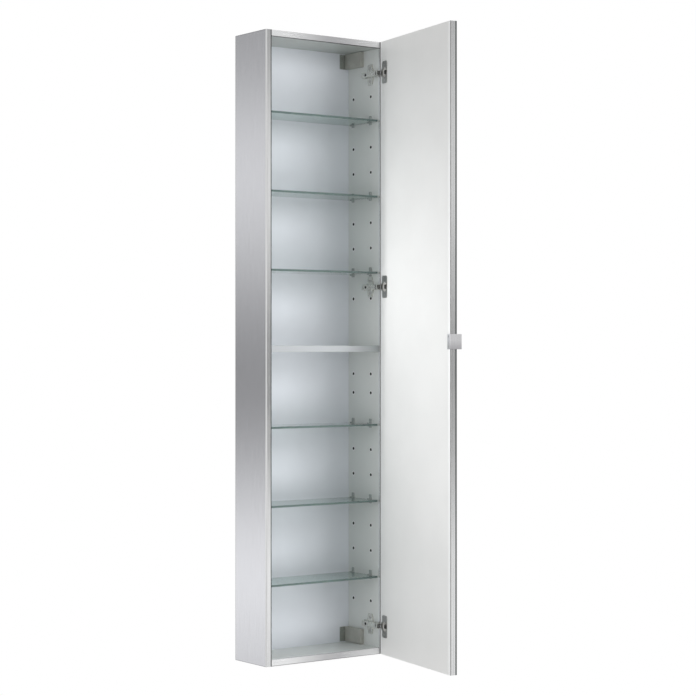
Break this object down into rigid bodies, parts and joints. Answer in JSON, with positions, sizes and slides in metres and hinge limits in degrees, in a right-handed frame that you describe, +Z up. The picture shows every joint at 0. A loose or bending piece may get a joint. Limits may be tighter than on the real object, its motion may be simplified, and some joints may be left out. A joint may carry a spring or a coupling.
{
  "type": "mirror cabinet",
  "caption": "Tall narrow wall cabinet with glass shelves on clips and one mirrored door that swings on concealed hinges.",
  "frame": {"origin": "centre of the back face, on the wall, at mid-height and mid-width", "axes": "+X to the right of a person facing the cabinet, +Y into the wall, +Z up; the door is on the -Y side"},
  "size_m": [0.3618, 0.5011, 1.544],
  "materials": {
    "silver_board": "satin silver foil outside, pale grey inside",
    "white_board": "smooth satin white melamine",
    "white_door_board": "smooth satin white melamine",
    "aluminium_edge": "satin anodised extrusion",
    "shelf_glass": "clear float glass with a green edge",
    "clear_plastic": "clear moulded plastic",
    "beech": "grooved beech",
    "screw_steel": "zinc plated",
    "grey_plastic": "warm grey moulded plastic",
    "galvanised_steel": "galvanised sheet",
    "nickelled_steel": "nickel plated",
    "mirror_glass": "silvered float glass",
    "adhesive": "mirror adhesive film",
    "satin_handle": "satin anodised"
  },
  "bodies": {
    "cabinet": {"left_side_panel": "silver_board", "right_side_panel": "silver_board", "top_panel": "white_board", "bottom_panel": "white_board", "middle_shelf": "white_board", "panel_dowels": "beech", "back_panel": "white_board", "back_screws": "screw_steel", "left_front_edge": "aluminium_edge", "right_front_edge": "aluminium_edge", "top_front_edge": "aluminium_edge", "bottom_front_edge": "aluminium_edge", "middle_shelf_edge": "aluminium_edge", "glass_shelf_1": "shelf_glass", "glass_shelf_2": "shelf_glass", "glass_shelf_3": "shelf_glass", "glass_shelf_4": "shelf_glass", "glass_shelf_5": "shelf_glass", "glass_shelf_6": "shelf_glass", "shelf_supports_1": "clear_plastic", "shelf_supports_2": "clear_plastic", "shelf_supports_3": "clear_plastic", "shelf_supports_4": "clear_plastic", "shelf_supports_5": "clear_plastic", "shelf_supports_6": "clear_plastic", "hanger_bodies": "grey_plastic", "hanger_covers": "grey_plastic", "hanger_screws": "screw_steel", "hanger_hooks": "galvanised_steel", "hanger_adjusters": "screw_steel", "wall_plates": "galvanised_steel", "hinge_mounting_plates": "nickelled_steel", "hinge_plate_screws": "screw_steel", "hinge_arms": "nickelled_steel", "hinge_arm_screws": "screw_steel", "hinge_arm_pins": "nickelled_steel"},
    "door": {"door_board": "white_door_board", "mirror_adhesive": "adhesive", "door_mirror": "mirror_glass", "door_free_edge_profile": "aluminium_edge", "door_hinge_edge_profile": "aluminium_edge", "door_handle": "satin_handle", "handle_screws": "screw_steel", "hinge_cups": "nickelled_steel", "hinge_cup_screws": "screw_steel", "hinge_cup_pins": "nickelled_steel"},
    "outer_links": {"hinge_outer_links": "nickelled_steel"},
    "inner_links": {"hinge_inner_links": "nickelled_steel"}
  },
  "joints": [
    {"name": "door_swing", "type": "hinge", "parent": "cabinet", "child": "door", "pos_m": [0.173, -0.149, 0], "axis": [0, 0, 1], "range_deg": [-80, 30]},
    {"name": "outer_link_turn", "type": "hinge", "parent": "cabinet", "child": "outer_links", "pos_m": [0.1571, -0.1395, 0], "axis": [0, 0, 1], "range_deg": [-16.5, 43.5]},
    {"name": "inner_link_turn", "type": "hinge", "parent": "door", "child": "inner_links", "pos_m": [0.16873, -0.16399, 0], "axis": [0, 0, 1], "range_deg": [-34, 91]}
  ],
  "couplings": [
    {"joint": "outer_link_turn", "follows": "door_swing", "ratio": -0.54},
    {"joint": "inner_link_turn", "follows": "door_swing", "ratio": -1.125}
  ]
}
